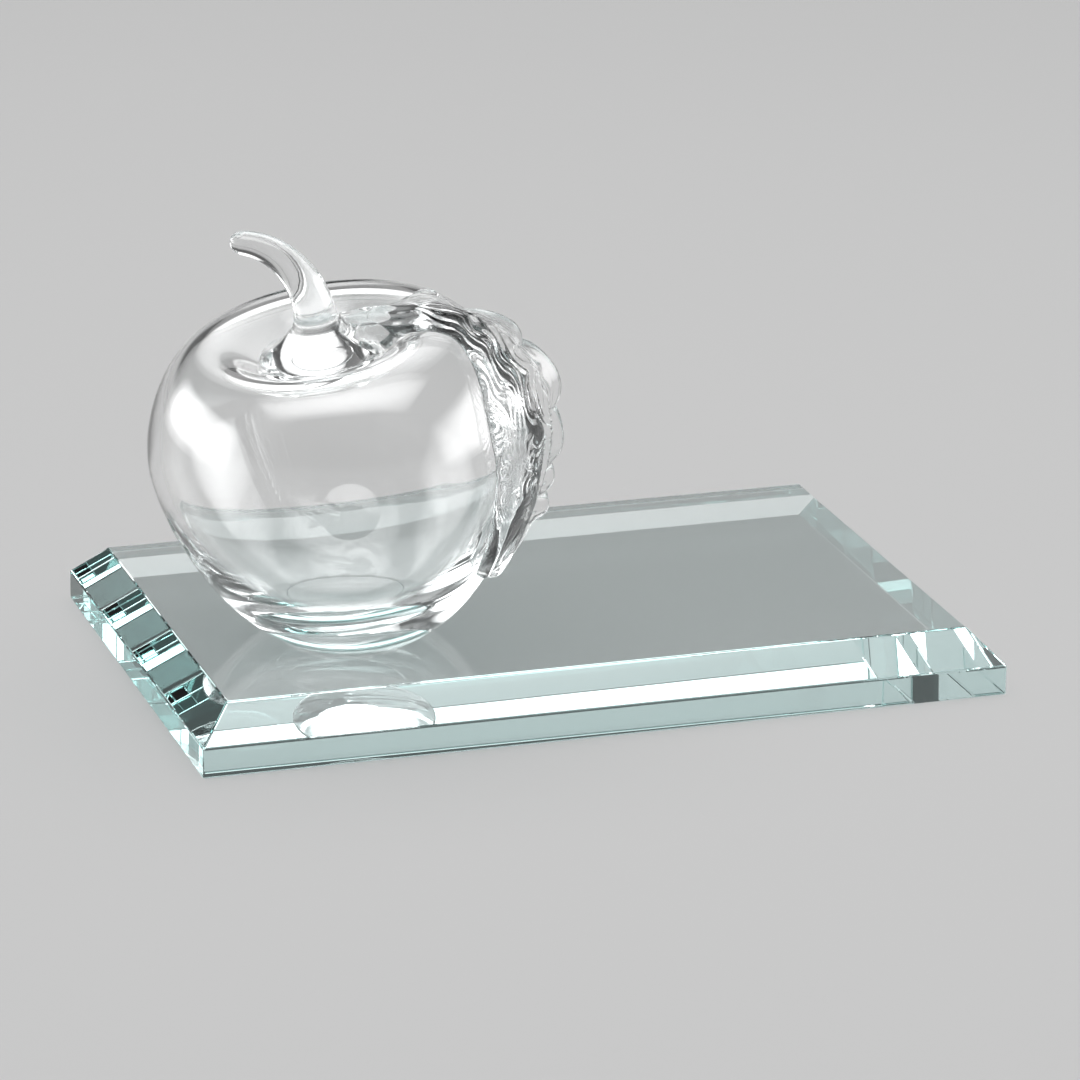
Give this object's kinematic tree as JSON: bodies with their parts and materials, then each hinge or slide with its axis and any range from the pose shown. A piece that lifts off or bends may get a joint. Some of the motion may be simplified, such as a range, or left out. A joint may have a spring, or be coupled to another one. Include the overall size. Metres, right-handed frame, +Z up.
{
  "type": "art glass apple",
  "caption": "Hollow clear glass apple with a bent glass stem and a crimped glass leaf, leaning on a flat bevelled glass plinth; a free-standing ornament or paperweight.",
  "frame": {"origin": "centre of the plinth's underside, on the surface it stands on", "axes": "+X along the plinth's length, away from the apple's end, +Y along its depth towards the back, +Z up"},
  "size_m": [0.178, 0.114, 0.1031],
  "materials": {
    "plinth_glass": "polished, faint green-blue tint",
    "clear_adhesive": "clear, cured",
    "apple_glass": "fire-polished, clear",
    "stem_glass": "fire-polished, clear",
    "leaf_glass": "crimped and crinkled, clear"
  },
  "bodies": {
    "root": {"plinth": "plinth_glass", "bond_film": "clear_adhesive", "apple_body": "apple_glass", "stem": "stem_glass", "leaf": "leaf_glass"}
  },
  "joints": []
}
